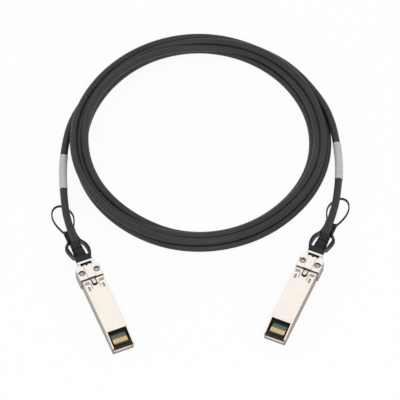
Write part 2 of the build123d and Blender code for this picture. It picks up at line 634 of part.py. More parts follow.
def corner_radii(points):
    radii = []
    for before, here, after in zip(points, points[1:], points[2:]):
        run = min((here - before).length, (after - here).length)
        turn = math.radians((here - before).get_angle(after - here))
        radii.append(0.45 * run / math.tan(turn / 2))
    return radii


def tail_line(points):
    return FilletPolyline(*points, radius=corner_radii(points))


def tube(line, radius):
    start = Plane(origin=line @ 0, z_dir=line % 0)
    return sweep(start * Circle(radius), path=line)


def wrap_label(line, tail, label_y):
    """The label's sleeve round one stretch of cable."""
    reach = 3 * COIL_WIDTH
    slab = Pos(line.position_at(0).X, label_y + LABEL_LENGTH / 2, 0) * Box(reach, LABEL_LENGTH, reach)
    return (tube(line, CABLE_RADIUS + LABEL_THICK) & slab) - tail


def save(name, shape):
    shapes = shape if isinstance(shape, list) else [shape]
    solids = []
    for one in shapes:
        solids.extend(one.solids())
    whole = solids[0] if len(solids) == 1 else Compound(solids)
    export_step(whole, f"parts/{name}.step")


def main():
    section = Pos((COIL_INNER + COIL_OUTER) / 2, 0, COIL_HEIGHT / 2) * Rot(90, 0, 0)
    ring = revolve(section * RectangleRounded(COIL_WIDTH, COIL_HEIGHT, COIL_ROUND), Axis.Z)
    coil = Pos(COIL_X, COIL_Y, 0) * ring
    for side, tip, turn, route, label_y, out in (
        ("left", LEFT_TIP, LEFT_TURN, LEFT_ROUTE, LEFT_LABEL_Y, -1),
        ("right", RIGHT_TIP, RIGHT_TURN, RIGHT_ROUTE, RIGHT_LABEL_Y, 1),
    ):
        place = Pos(tip[0], tip[1], 0) * Rot(0, 0, turn)
        for name, piece in plug_pieces(out).items():
            pieces = piece if isinstance(piece, list) else [piece]
            save(f"{side}_{name}", [place * one for one in pieces])
        points = tail_route(tip, turn, route)
        line = tail_line(points)
        tail = tube(line, CABLE_RADIUS)
        area = math.pi * CABLE_RADIUS ** 2
        print(side, "tail length", round(line.length, 2), "bend radii", [round(r, 1) for r in corner_radii(points)],
              "volume over section x length", round(tail.volume / (area * line.length), 4))
        coil -= tail
        save(f"{side}_cable_tail", tail)
        save(f"{side}_label", wrap_label(line, tail, label_y))
    save("cable_coil", coil)
    print("coil volume", round(coil.volume), "solids", len(coil.solids()))


main()
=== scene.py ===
"""Direct attach copper cable: the finishes of both plugs, the coiled cable, its labels and a plain studio."""
import logging
import math
from dataclasses import dataclass, field
from enum import Enum
from typing import Dict, List, Optional, Sequence, Tuple, Union

import bpy
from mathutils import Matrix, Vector


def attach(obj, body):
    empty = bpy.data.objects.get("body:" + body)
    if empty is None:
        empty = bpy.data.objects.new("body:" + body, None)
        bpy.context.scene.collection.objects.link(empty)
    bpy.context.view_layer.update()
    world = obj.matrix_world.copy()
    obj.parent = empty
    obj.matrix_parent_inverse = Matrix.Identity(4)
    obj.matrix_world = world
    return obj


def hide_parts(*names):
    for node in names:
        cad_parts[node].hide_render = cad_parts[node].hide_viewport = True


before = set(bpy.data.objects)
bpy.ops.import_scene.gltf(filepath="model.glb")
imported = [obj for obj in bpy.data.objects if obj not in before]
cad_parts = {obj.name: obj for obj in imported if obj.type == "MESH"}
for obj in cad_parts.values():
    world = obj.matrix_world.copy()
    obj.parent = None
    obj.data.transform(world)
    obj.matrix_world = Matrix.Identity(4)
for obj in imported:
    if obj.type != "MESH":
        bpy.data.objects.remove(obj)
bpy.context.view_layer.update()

LOG = logging.getLogger("direct_attach_cable")
MM = 0.001

Colour = Tuple[float, float, float]
Point = Tuple[float, float, float]
Number = Union[float, "Value"]


class Side(Enum):
    """The two plugs, by their place in front of the coil."""

    LEFT = "left"
    RIGHT = "right"


class Value:
    """A number that varies over a surface, and the sums that can be written on it."""

    def __init__(self, sheet: "ShaderSheet", socket: bpy.types.NodeSocket) -> None:
        """Keep the socket that carries the number.

        Args:
            sheet: The sheet that new Math nodes are added to.
            socket: The output that holds the number.
        """
        self.sheet = sheet
        self.socket = socket

    def _sum(self, operation: str, *terms: Number) -> "Value":
        """Add one Math node.

        Args:
            operation: The Math node's operation.
            terms: Its inputs, in order.

        Returns:
            The node's result.
        """
        node = self.sheet.node("ShaderNodeMath", {"operation": operation}, dict(enumerate(terms)))
        return Value(self.sheet, node.outputs[0])

    def __add__(self, other: Number) -> "Value":
        """This number plus another."""
        return self._sum("ADD", self, other)

    __radd__ = __add__

    def __sub__(self, other: Number) -> "Value":
        """This number less another."""
        return self._sum("SUBTRACT", self, other)

    def __rsub__(self, other: Number) -> "Value":
        """Another number less this one."""
        return self._sum("SUBTRACT", other, self)

    def __mul__(self, other: Number) -> "Value":
        """This number times another."""
        return self._sum("MULTIPLY", self, other)

    __rmul__ = __mul__

    def __truediv__(self, other: Number) -> "Value":
        """This number over another."""
        return self._sum("DIVIDE", self, other)

    def absolute(self) -> "Value":
        """This number without its sign."""
        return self._sum("ABSOLUTE", self)

    def wrapped(self) -> "Value":
        """The part of this number after the decimal point."""
        return self._sum("FRACT", self)

    def larger(self, other: Number) -> "Value":
        """The larger of this number and another."""
        return self._sum("MAXIMUM", self, other)

    def root(self) -> "Value":
        """The square root of this number."""
        return self._sum("SQRT", self)

    def step(self, low: float, high: float) -> "Value":
        """A smooth rise from 0 to 1 between two values.

        Args:
            low: Where the rise starts.
            high: Where it ends.

        Returns:
            The mask.
        """
        node = self.sheet.node(
            "ShaderNodeMapRange",
            {"interpolation_type": "SMOOTHSTEP"},
            {"Value": self, "From Min": low, "From Max": high, "To Min": 0.0, "To Max": 1.0},
        )
        return Value(self.sheet, node.outputs["Result"])


class ShaderSheet:
    """The node sheet of one material."""

    def __init__(self, name: str) -> None:
        """Start a material with its one surface shader.

        Args:
            name: The material's name.
        """
        self.material = bpy.data.materials.new(name)
        self.material.use_nodes = True
        self.tree = self.material.node_tree
        self.surface = self.tree.nodes["Principled BSDF"]
        self.output = self.tree.nodes["Material Output"]

    def node(
        self, kind: str, settings: Optional[dict] = None, inputs: Optional[dict] = None
    ) -> bpy.types.Node:
        """Add a node.

        Args:
            kind: The node's type.
            settings: Its properties, which are set first.
            inputs: Values or links for its sockets, by name or number.

        Returns:
            The new node.
        """
        node = self.tree.nodes.new(kind)
        for name, value in (settings or {}).items():
            setattr(node, name, value)
        for key, value in (inputs or {}).items():
            self.feed(node.inputs[key], value)
        return node

    def feed(self, socket: bpy.types.NodeSocket, value: object) -> None:
        """Set a socket to a constant or link it.

        Args:
            socket: The input to set.
            value: A number, a colour, an output socket or a Value.
        """
        source = value.socket if isinstance(value, Value) else value
        if isinstance(source, bpy.types.NodeSocket):
            self.tree.links.new(source, socket)
        elif isinstance(source, tuple) and len(source) == 3 and socket.type == "RGBA":
            socket.default_value = (*source, 1.0)
        else:
            socket.default_value = source

    def place(self) -> bpy.types.NodeSocket:
        """Object coordinates, in metres."""
        return self.node("ShaderNodeTexCoord").outputs["Object"]

    def plug_place(self, tip: Point, turn: float) -> bpy.types.NodeSocket:
        """Object coordinates seen from one plug: x across it and y from its tip.

        Args:
            tip: The middle of the plug's tip.
            turn: The plug's heading, in degrees.

        Returns:
            The turned coordinates.
        """
        mapping = self.node(
            "ShaderNodeMapping",
            {"vector_type": "TEXTURE"},
            {"Vector": self.place(), "Location": tip, "Rotation": (0.0, 0.0, math.radians(turn))},
        )
        return mapping.outputs["Vector"]

    def parts(self, vector: bpy.types.NodeSocket) -> Tuple[Value, Value, Value]:
        """The three numbers of a vector."""
        node = self.node("ShaderNodeSeparateXYZ", None, {0: vector})
        return tuple(Value(self, socket) for socket in node.outputs)

    def noise(
        self, place: bpy.types.NodeSocket, scale: float, detail: float = 2.0, rough: float = 0.5
    ) -> Value:
        """Soft irregular variation about a half.

        Args:
            place: The coordinates it reads.
            scale: Patches to the metre.
            detail: How many finer layers it has.
            rough: How strong the finer layers are.

        Returns:
            The noise.
        """
        node = self.node(
            "ShaderNodeTexNoise",
            None,
            {"Vector": place, "Scale": scale, "Detail": detail, "Roughness": rough},
        )
        return Value(self, node.outputs[0])

    def facing_up(self) -> Value:
        """How far a face looks up: 1 for level faces and 0 for upright ones."""
        return self.parts(self.node("ShaderNodeNewGeometry").outputs["Normal"])[2]

    def stretched(self, place: bpy.types.NodeSocket, scale: Point) -> bpy.types.NodeSocket:
        """Coordinates scaled by a different amount each way."""
        return self.node("ShaderNodeMapping", None, {"Vector": place, "Scale": scale}).outputs["Vector"]

    def blend(self, mask: Number, first: object, second: object) -> bpy.types.NodeSocket:
        """A colour between two.

        Args:
            mask: 0 for the first colour and 1 for the second.
            first: A colour or a link.
            second: A colour or a link.

        Returns:
            The mixed colour.
        """
        node = self.node("ShaderNodeMix", {"data_type": "RGBA"}, {0: mask, 6: first, 7: second})
        return node.outputs[2]

    def rounded(self, radius: float) -> bpy.types.NodeSocket:
        """The surface normal with sharp edges rounded off."""
        return self.node("ShaderNodeBevel", {"samples": 6}, {"Radius": radius}).outputs["Normal"]

    def edge(self, radius: float) -> Value:
        """A mask of the edges, from how far rounding turns the normal.

        Args:
            radius: How far from an edge the mask reaches.

        Returns:
            The mask, from 0 on a flat to about 1 on an edge.
        """
        geometry = self.node("ShaderNodeNewGeometry")
        dot = self.node(
            "ShaderNodeVectorMath",
            {"operation": "DOT_PRODUCT"},
            {0: self.rounded(radius), 1: geometry.outputs["Normal"]},
        )
        return (1.0 - Value(self, dot.outputs["Value"])).step(0.02, 0.22)

    def relief(self, height: Value, depth: float, normal: Optional[bpy.types.NodeSocket] = None) -> None:
        """Press a height pattern into the surface.

        Args:
            height: The pattern, from 0 to 1.
            depth: How deep it is, in metres.
            normal: The normal that it starts from.
        """
        inputs = {"Height": height, "Distance": depth, "Strength": 1.0}
        if normal is not None:
            inputs["Normal"] = normal
        bump = self.node("ShaderNodeBump", None, inputs)
        self.feed(self.surface.inputs["Normal"], bump.outputs["Normal"])

    def set(self, **sockets: object) -> None:
        """Set the surface shader's sockets, named with underscores for spaces."""
        for name, value in sockets.items():
            self.feed(self.surface.inputs[name.replace("_", " ")], value)


@dataclass(frozen=True)
class Finish:
    """What every finish has: a name, a colour and a roughness."""

    name: str
    colour: Colour
    roughness: float

    def dress(self, sheet: ShaderSheet) -> None:
        """Fill the sheet. Each finish has its own.

        Args:
            sheet: The empty sheet of the material.
        """
        raise NotImplementedError

    def material(self) -> bpy.types.Material:
        """Make the material.

        Returns:
            The finished material.
        """
        sheet = ShaderSheet(self.name)
        self.dress(sheet)
        return sheet.material

    def shade(self, share: float) -> Colour:
        """The finish's colour made darker or lighter by a share."""
        return tuple(min(1.0, part * share) for part in self.colour)


@dataclass(frozen=True)
class CastMetal(Finish):
    """Satin plating over a die casting: fine grain, faint clouds, upright sides painted darker as shade, and
    rubbed edges.

    What faces up below recess_height is painted darker and browner, as shade in the recesses.
    """

    metallic: float = 1.0
    grain_depth: float = 0.000006
    edge_radius: float = 0.00016
    side_shade_share: float = 0.32
    side_shade_tint: Colour = (1.0, 0.93, 0.93)
    recess_height: float = 0.0
    recess_shade_colour: Colour = (0.4, 0.34, 0.27)

    def dress(self, sheet: ShaderSheet) -> None:
        """Build the plating's colour, roughness and grain."""
        place = sheet.place()
        cloud = sheet.noise(place, 190.0, 3.0, 0.6)
        grain = sheet.noise(place, 5200.0, 2.0, 0.7)
        speck = sheet.noise(place, 1500.0, 2.0, 0.6).step(0.66, 0.74)
        rubbed = sheet.edge(self.edge_radius * 1.6)
        upright = 1.0 - sheet.facing_up().step(0.25, 0.8)
        tone = sheet.blend(cloud.step(0.3, 0.7), self.shade(0.97), self.colour)
        tone = sheet.blend(speck * 0.35, tone, self.shade(0.72))
        # Painted shade: upright faces take a darker, tinted copy of the colour.
        side = tuple(part * self.side_shade_share * tint for part, tint in zip(self.colour, self.side_shade_tint))
        tone = sheet.blend(upright, tone, side)
        # Painted shade in the recesses: level faces below recess_height turn dark brown.
        low = sheet.parts(place)[2]
        recess = 1.0 - low.step(self.recess_height - 0.25 * MM, self.recess_height - 0.08 * MM)
        tone = sheet.blend(recess * (1.0 - upright), tone, self.recess_shade_colour)
        colour, shade_mask = self.painted_shade(sheet, sheet.blend(rubbed * 0.5, tone, self.shade(1.1)))
        rough = self.roughness + (cloud - 0.5) * 0.16 + (grain - 0.5) * 0.12 - rubbed * 0.08
        sheet.set(Base_Color=colour, Metallic=self.metallic - shade_mask * 0.5, Roughness=rough + shade_mask * 0.2)
        sheet.relief(grain, self.grain_depth, sheet.rounded(self.edge_radius))

    def painted_shade(self, sheet: ShaderSheet, tone: bpy.types.NodeSocket) -> Tuple[bpy.types.NodeSocket, Number]:
        """Paint shade on the casting. A plain casting has none.

        Args:
            sheet: The sheet.
            tone: The colour so far.

        Returns:
            The colour, and a mask of the painted shade, which also dulls the metal.
        """
        return tone, 0.0


@dataclass(frozen=True)
class MouthMetal(CastMetal):
    """The casting with the plug's mouth, whose inside is painted dark brown as shade."""

    tip: Point = (0.0, 0.0, 0.0)
    turn: float = 0.0
    mouth_half: float = 5.95 * MM
    mouth_start: float = 0.95 * MM
    mouth_end: float = 10.9 * MM
    side_fade: float = 0.04 * MM
    start_fade: float = 0.05 * MM
    end_fade: float = 0.1 * MM
    mouth_shade_colour: Colour = (0.11, 0.078, 0.055)

    def painted_shade(self, sheet: ShaderSheet, tone: bpy.types.NodeSocket) -> Tuple[bpy.types.NodeSocket, Number]:
        """Paint dark brown shade inside the mouth."""
        # Painted shade: the inside of the mouth is darkened, made less metallic and rougher.
        across, along, _ = sheet.parts(sheet.plug_place(self.tip, self.turn))
        side = across.absolute()
        inside = 1.0 - side.step(self.mouth_half - self.side_fade, self.mouth_half + self.side_fade)
        inside = inside * along.step(self.mouth_start - self.start_fade, self.mouth_start + self.start_fade)
        inside = inside * (1.0 - along.step(self.mouth_end, self.mouth_end + self.end_fade))
        return sheet.blend(inside, tone, self.mouth_shade_colour), inside


@dataclass(frozen=True)
class NoseMetal(CastMetal):
    """The casting with painted shade along the raised strip's foot and in the pocket behind it."""

    tip: Point = (0.0, 0.0, 0.0)
    turn: float = 0.0
    strip_half: float = 2.45 * MM
    line_half: float = 0.09 * MM
    pocket_half: float = 3.5 * MM
    pocket_start: float = 59.9 * MM
    pocket_end: float = 61.7 * MM
    pocket_top: float = 9.15 * MM
    fade_start: float = 0.02 * MM
    fade_end: float = 0.08 * MM
    top_fade: float = 0.1 * MM
    foot_shade_end: float = 59.7 * MM
    foot_shade_share: float = 0.75
    foot_shade_colour: Colour = (0.16, 0.12, 0.09)
    pocket_shade_colour: Colour = (0.02, 0.016, 0.013)

    def painted_shade(self, sheet: ShaderSheet, tone: bpy.types.NodeSocket) -> Tuple[bpy.types.NodeSocket, Number]:
        """Paint shade along the strip's foot and on the walls of the pocket."""
        across, along, height = sheet.parts(sheet.plug_place(self.tip, self.turn))
        side = across.absolute()
        # Painted shade: a dark line along the foot of the raised strip.
        line = 1.0 - (side - self.strip_half).absolute().step(self.line_half * 0.5, self.line_half * 1.5)
        line = line * (1.0 - along.step(self.foot_shade_end, self.pocket_start))
        # Painted shade: the walls of the pocket turn nearly black and dull.
        pocket = 1.0 - side.step(self.pocket_half + self.fade_start, self.pocket_half + self.fade_end)
        pocket = pocket * along.step(self.pocket_start - self.fade_end, self.pocket_start - self.fade_start)
        end = along.step(self.pocket_end + self.fade_start, self.pocket_end + self.fade_end)
        pocket = pocket * (1.0 - end)
        pocket = pocket * (1.0 - height.step(self.pocket_top - self.top_fade, self.pocket_top))
        foot_shaded = sheet.blend(line * self.foot_shade_share, tone, self.foot_shade_colour)
        return sheet.blend(pocket, foot_shaded, self.pocket_shade_colour), pocket


@dataclass(frozen=True)
class DrawnMetal(Finish):
    """Pressed or turned metal with fine lines along one way."""

    lines: Point = (900.0, 900.0, 9000.0)
    line_depth: float = 0.000003
    edge_radius: float = 0.0001

    def dress(self, sheet: ShaderSheet) -> None:
        """Build the lines, the tarnish and the edges."""
        place = sheet.place()
        lines = sheet.noise(sheet.stretched(place, self.lines), 1.0, 2.0, 0.6)
        tarnish = sheet.noise(place, 420.0, 3.0, 0.6)
        rubbed = sheet.edge(self.edge_radius * 1.6)
        tone = sheet.blend(tarnish.step(0.35, 0.75), self.colour, self.shade(0.8))
        colour = self.add_rim_shade(sheet, sheet.blend(rubbed * 0.5, tone, self.shade(1.25)))
        rough = self.roughness + (lines - 0.5) * 0.2 + (tarnish - 0.5) * 0.15
        sheet.set(Base_Color=colour, Metallic=1.0, Roughness=rough)
        sheet.relief(lines, self.line_depth, sheet.rounded(self.edge_radius))

    def add_rim_shade(self, sheet: ShaderSheet, tone: bpy.types.NodeSocket) -> bpy.types.NodeSocket:
        """Add painted shade round a rim. Plain metal has none.

        Args:
            sheet: The sheet.
            tone: The colour so far.

        Returns:
            The colour.
        """
        return tone


@dataclass(frozen=True)
class ScrewMetal(DrawnMetal):
    """A turned screw with painted shade round the rim of its head."""

    tip: Point = (0.0, 0.0, 0.0)
    turn: float = 0.0
    centre_x: float = 4.7 * MM
    centre_y: float = 55.1 * MM
    bright_radius: float = 1.0 * MM
    rim_fade: float = 0.2 * MM
    rim_shade_colour: Colour = (0.13, 0.105, 0.085)

    def add_rim_shade(self, sheet: ShaderSheet, tone: bpy.types.NodeSocket) -> bpy.types.NodeSocket:
        """Paint shade round the rim of each head."""
        across, along, _ = sheet.parts(sheet.plug_place(self.tip, self.turn))
        out, back = across.absolute() - self.centre_x, along - self.centre_y
        from_centre = (out * out + back * back).root()
        # Painted shade of the counterbore round each head.
        rim = from_centre.step(self.bright_radius, self.bright_radius + self.rim_fade)
        return sheet.blend(rim, tone, self.rim_shade_colour)


@dataclass(frozen=True)
class MouldedPolymer(Finish):
    """Moulded rubber or plastic with a fine texture, dull scuffs and softly worn edges."""

    grain: float = 3800.0
    grain_depth: float = 0.00001
    edge_radius: float = 0.00022
    specular: float = 0.35

    def dress(self, sheet: ShaderSheet) -> None:
        """Build the mould texture and the scuffs."""
        place = sheet.place()
        grain = sheet.noise(place, self.grain, 3.0, 0.6)
        scuff = sheet.noise(place, 260.0, 4.0, 0.65)
        worn = sheet.edge(self.edge_radius * 1.5)
        tone = sheet.blend(scuff.step(0.45, 0.75), self.colour, self.shade(1.5))
        colour = sheet.blend(worn * 0.55, tone, self.shade(2.2))
        rough = self.roughness + (scuff - 0.5) * 0.2 + (grain - 0.5) * 0.1
        sheet.surface.inputs["Specular IOR Level"].default_value = self.specular
        sheet.set(Base_Color=colour, Roughness=rough)
        sheet.relief(grain, self.grain_depth, sheet.rounded(self.edge_radius))


@dataclass(frozen=True)
class CableJacket(Finish):
    """Extruded jacket: faint waves from the die, a fine matt skin and a little handling shine."""

    skin_depth: float = 0.000012
    specular: float = 0.3

    def dress(self, sheet: ShaderSheet) -> None:
        """Build the jacket's skin."""
        place = sheet.place()
        skin = sheet.noise(place, 2600.0, 3.0, 0.65)
        wave = sheet.noise(place, 330.0, 2.0, 0.5)
        shine = sheet.noise(place, 60.0, 3.0, 0.55)
        tone = sheet.blend(shine.step(0.35, 0.7), self.shade(0.88), self.shade(1.15))
        colour = sheet.blend(skin.step(0.62, 0.8) * 0.3, tone, self.shade(1.6))
        rough = self.roughness + (shine - 0.5) * 0.18 + (skin - 0.5) * 0.12
        sheet.surface.inputs["Specular IOR Level"].default_value = self.specular
        sheet.set(Base_Color=colour, Roughness=rough)
        sheet.relief(skin * 0.7 + wave * 0.3, self.skin_depth)


@dataclass(frozen=True)
class SolderMask(Finish):
    """Card laminate under a solder mask, with copper runs showing through as lighter stripes."""

    run_colour: Colour = (0.16, 0.22, 0.18)
    tip: Point = (0.0, 0.0, 0.0)
    turn: float = 0.0
    run_pitch: float = 0.9 * MM
    run_start: float = 6.2 * MM
    run_full: float = 6.6 * MM
    shade_start: float = 9.2 * MM
    shade_full: float = 9.9 * MM
    shade_share: float = 0.85
    shade_colour: Colour = (0.012, 0.012, 0.011)

    def dress(self, sheet: ShaderSheet) -> None:
        """Build the mask, its copper runs and the painted shadow of the casing's roof on the card."""
        place = sheet.plug_place(self.tip, self.turn)
        across, along, _ = sheet.parts(place)
        stripe = ((across / self.run_pitch).wrapped() - 0.5).absolute()
        runs = (1.0 - stripe.step(0.16, 0.24)) * along.step(self.run_start, self.run_full)
        haze = sheet.noise(place, 500.0, 3.0, 0.6)
        weave = sheet.noise(place, 4200.0, 1.0, 0.5)
        tone = sheet.blend(haze.step(0.3, 0.7), self.shade(0.85), self.colour)
        tone = sheet.blend(runs * 0.8, tone, self.run_colour)
        # Painted shadow: the card goes dark from under the roof's edge.
        roof_shadow = along.step(self.shade_start, self.shade_full) * self.shade_share
        colour = sheet.blend(roof_shadow, tone, self.shade_colour)
        sheet.set(Base_Color=colour, Roughness=self.roughness + (haze - 0.5) * 0.15)
        sheet.relief(runs * 0.7 + weave * 0.3, 0.00001)


@dataclass(frozen=True)
class Gilding(Finish):
    """Plated contact faces with wipe marks along the card."""

    tip: Point = (0.0, 0.0, 0.0)
    turn: float = 0.0

    def dress(self, sheet: ShaderSheet) -> None:
        """Build the gold and its wipe marks."""
        place = sheet.plug_place(self.tip, self.turn)
        wipe = sheet.noise(sheet.stretched(place, (9000.0, 500.0, 500.0)), 1.0, 2.0, 0.6)
        tarnish = sheet.noise(place, 900.0, 3.0, 0.6)
        colour = sheet.blend(tarnish.step(0.35, 0.8), self.colour, self.shade(0.72))
        sheet.set(Base_Color=colour, Metallic=1.0, Roughness=self.roughness + (wipe - 0.5) * 0.22)
        sheet.relief(wipe, 0.000003, sheet.rounded(0.00003))


@dataclass(frozen=True)
class LabelFilm(Finish):
    """Bare wrap label: a coated film with faint fibres and grey handling marks."""

    def dress(self, sheet: ShaderSheet) -> None:
        """Build the film's tone and its slight ripple."""
        place = sheet.place()
        ripple = sheet.noise(place, 420.0, 2.0, 0.5)
        fibre = sheet.noise(place, 6500.0, 2.0, 0.7)
        mark = sheet.noise(place, 150.0, 4.0, 0.65)
        tone = sheet.blend(mark.step(0.5, 0.78), self.colour, self.shade(0.8))
        colour = sheet.blend(fibre.step(0.6, 0.85) * 0.4, tone, self.shade(0.88))
        sheet.set(Base_Color=colour, Roughness=self.roughness + (fibre - 0.5) * 0.2)
        sheet.relief(ripple * 0.8 + fibre * 0.2, 0.00004)


@dataclass(frozen=True)
class WhiteGround(Finish):
    """Pale paper ground that the camera sees as white, with the object's soft shadow kept."""

    veil: float = 0.92

    def dress(self, sheet: ShaderSheet) -> None:
        """Mix the lit paper with plain white for the rays that look at it."""
        place = sheet.place()
        fibre = sheet.noise(place, 40.0, 3.0, 0.5)
        colour = sheet.blend(fibre, self.shade(0.985), self.colour)
        sheet.set(Base_Color=colour, Roughness=self.roughness)
        ray = sheet.node("ShaderNodeLightPath")
        seen = Value(sheet, ray.outputs["Is Camera Ray"]).larger(Value(sheet, ray.outputs["Is Glossy Ray"]))
        seen = seen.larger(Value(sheet, ray.outputs["Is Transmission Ray"]))
        white = sheet.node("ShaderNodeEmission", None, {"Color": (1.0, 1.0, 1.0), "Strength": 1.0})
        mixed = sheet.node(
            "ShaderNodeMixShader",
            None,
            {0: seen * self.veil, 1: sheet.surface.outputs[0], 2: white.outputs[0]},
        )
        sheet.feed(sheet.output.inputs["Surface"], mixed.outputs[0])


def deselect() -> None:
    """Clear the selection, as the loaded nodes start selected."""
    bpy.ops.object.select_all(action="DESELECT")
    bpy.context.view_layer.objects.active = None


def pick(piece: bpy.types.Object) -> None:
    """Select one piece and make it active."""
    deselect()
    piece.select_set(True)
    bpy.context.view_layer.objects.active = piece


def dress(piece: bpy.types.Object, material: bpy.types.Material) -> None:
    """Give a piece one material in every slot.

    Args:
        piece: A loaded node or a new piece.
        material: Its finish.
    """
    if not piece.material_slots:
        piece.data.materials.append(material)
    for slot in piece.material_slots:
        slot.material = material


@dataclass
class CoiledCable:
    """The one cable: out of the left plug, round the coil clockwise and into the right plug."""

    jacket: Finish
    radius: float = 2.3
    plug_starts: Tuple[float, float] = (57.0, 92.0)
    height: float = 4.1
    left_tip: Tuple[float, float] = (-45.88, -53.42)
    left_turn: float = 22.3
    right_tip: Tuple[float, float] = (44.02, -47.1)
    right_turn: float = -23.4
    left_route: Sequence[Point] = (
        (-84.2, 62.9, 3.9), (-84.5, 86.0, 2.5), (-80.3, 113.0, 2.35), (-66.5, 136.5, 2.35),
    )
    right_route: Sequence[Point] = (
        (85.1, 69.0, 3.9), (84.6, 91.0, 3.3), (79.8, 116.5, 5.9), (66.5, 138.5, 6.35),
    )
    centre: Tuple[float, float] = (0.28, 97.4)
    length: float = 2.76
    step: float = 15.0
    stations: Sequence[float] = (145, 118, 90, 62, 35, -10, -45, -100, -127, -141, -155, -195)
    radii: Sequence[Sequence[float]] = (
        (77.9, 78.8, 78.6, 77.2, 77.2, 78.3, 77.7, 79.5, 78.5, 78.2, 78.0, 75.8),
        (74.4, 74.3, 74.0, 72.8, 72.6, 73.7, 73.1, 74.9, 73.9, 73.7, 73.5, 71.2),
        (69.8, 69.7, 69.4, 68.4, 68.0, 69.1, 68.6, 70.3, 71.4, 72.0, 72.2, 70.8),
        (69.3, 68.0, 67.4, 70.6, 70.5, 71.6, 71.1, 73.4, 75.9, 76.0, 75.8, 73.7),
        (72.2, 72.0, 71.7, 72.7, 74.2, 75.7, 75.2, 77.6, 79.2, 79.0, 79.2, 77.9),
        (76.4, 76.2, 76.2, 74.9),
    )
    heights: Sequence[Sequence[float]] = (
        (2.35, 2.35, 2.35, 2.35, 2.35, 2.35, 2.35, 2.35, 2.35, 2.35, 2.35, 2.35),
        (2.35, 2.35, 2.35, 2.35, 2.35, 2.35, 2.35, 2.35, 2.35, 2.35, 2.35, 2.35),
        (2.35, 2.35, 2.35, 2.35, 2.35, 2.35, 2.35, 2.35, 7.2, 8.2, 8.9, 9.9),
        (10.0, 8.6, 6.4, 6.45, 6.45, 6.45, 6.45, 6.45, 6.8, 6.8, 6.8, 6.45),
        (6.45, 6.7, 7.6, 10.2, 8.7, 6.45, 6.45, 6.45, 9.3, 9.6, 9.1, 6.7),
        (6.45, 6.45, 6.45, 6.45),
    )

    def stance(self, side: Side) -> Tuple[Tuple[float, float], float]:
        """Where a plug's tip is, in millimetres, and its heading in degrees."""
        if side is Side.LEFT:
            return self.left_tip, self.left_turn
        return self.right_tip, self.right_turn

    def inside(self, side: Side) -> List[Point]:
        """The points of the cable where it runs straight through a plug.

        Args:
            side: The plug.

        Returns:
            The points, from the plug outwards, in millimetres.
        """
        tip, turn = self.stance(side)
        angle = math.radians(turn)
        return [
            (tip[0] - math.sin(angle) * along, tip[1] + math.cos(angle) * along, self.height)
            for along in self.plug_starts
        ]

    def lane(self) -> List[Point]:
        """The lane of the cable round the coil, from the listed stations.

        Returns:
            Heading in degrees, which falls all the way, with the radius and height there.
        """
        first, last = self.left_route[-1], self.right_route[-1]
        lane = [self.polar(first, 0)]
        for turn, (radii, heights) in enumerate(zip(self.radii, self.heights)):
            for heading, radius, height in zip(self.stations, radii, heights):
                lane.append((heading - 360.0 * turn, radius, height))
        lane.append(self.polar(last, len(self.radii) - 1))
        return lane

    def polar(self, point: Point, turn: int) -> Point:
        """A route point as heading, radius and height about the coil's centre."""
        x, y = point[0] - self.centre[0], point[1] - self.centre[1]
        return (math.degrees(math.atan2(y, x)) - 360.0 * turn, math.hypot(x, y), point[2])

    def turns(self) -> List[Point]:
        """The control points of the coil's turns, one about every fifteen degrees.

        Returns:
            The points in millimetres.
        """
        lane = self.lane()
        start, end = lane[0][0], lane[-1][0]
        count = round((start - end) / self.step)
        step = (start - end) / count
        swell = 1.0 / math.cos(math.radians(step / 2))
        points = []
        segment = 0
        for index in range(1, count):
            heading = start - index * step
            while lane[segment + 1][0] > heading:
                segment += 1
            (a0, r0, z0), (a1, r1, z1) = lane[segment], lane[segment + 1]
            share = (a0 - heading) / (a0 - a1)
            radius = (r0 + (r1 - r0) * share) * swell
            angle = math.radians(heading)
            points.append((
                self.centre[0] + radius * math.cos(angle),
                self.centre[1] + radius * math.sin(angle),
                z0 + (z1 - z0) * share,
            ))
        return points

    def route(self) -> List[Point]:
        """Every control point of the cable, from the left plug to the right one, in metres."""
        left = self.inside(Side.LEFT) + list(self.left_route)
        right = self.inside(Side.RIGHT) + list(self.right_route)
        points = left + self.turns() + right[::-1]
        return [tuple(part * MM for part in point) for point in points]

    def build(self) -> bpy.types.Object:
        """Returns:
            The cable.
        """
        points = self.route()
        data = bpy.data.curves.new("cable", "CURVE")
        data.dimensions = "3D"
        spline = data.splines.new("NURBS")
        spline.points.add(len(points) - 1)
        for control, point in zip(spline.points, points):
            control.co = (*point, 1.0)
        spline.order_u = 3
        spline.use_endpoint_u = True
        spline.resolution_u = 6
        data.bevel_depth = self.radius * MM
        data.bevel_resolution = 6
        data.use_fill_caps = True
        cable = bpy.data.objects.new("cable", data)
        bpy.context.scene.collection.objects.link(cable)
        dress(cable, self.jacket.material())
        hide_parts("left_cable_tail", "right_cable_tail", "cable_coil")
        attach(cable, "cable_and_plugs")
        return cable

    def declare(self) -> None:
        """Work out where the cable leaves the left plug; nothing is done with it.
        """
        exit_point = tuple(part * MM for part in self.inside(Side.LEFT)[0])


def centre_line(cable: bpy.types.Object) -> List[Vector]:
    """The points that a curve's own line passes through.

    Args:
        cable: A curve object with one spline.

    Returns:
        The points in order, in metres.
    """
    bare = cable.data.copy()
    bare.bevel_depth = 0.0
    bare.use_fill_caps = False
    holder = bpy.data.objects.new("bare_line", bare)
    mesh = bpy.data.meshes.new_from_object(holder)
    points = [vertex.co.copy() for vertex in mesh.vertices]
    bpy.data.objects.remove(holder)
    bpy.data.curves.remove(bare)
    bpy.data.meshes.remove(mesh)
    return points


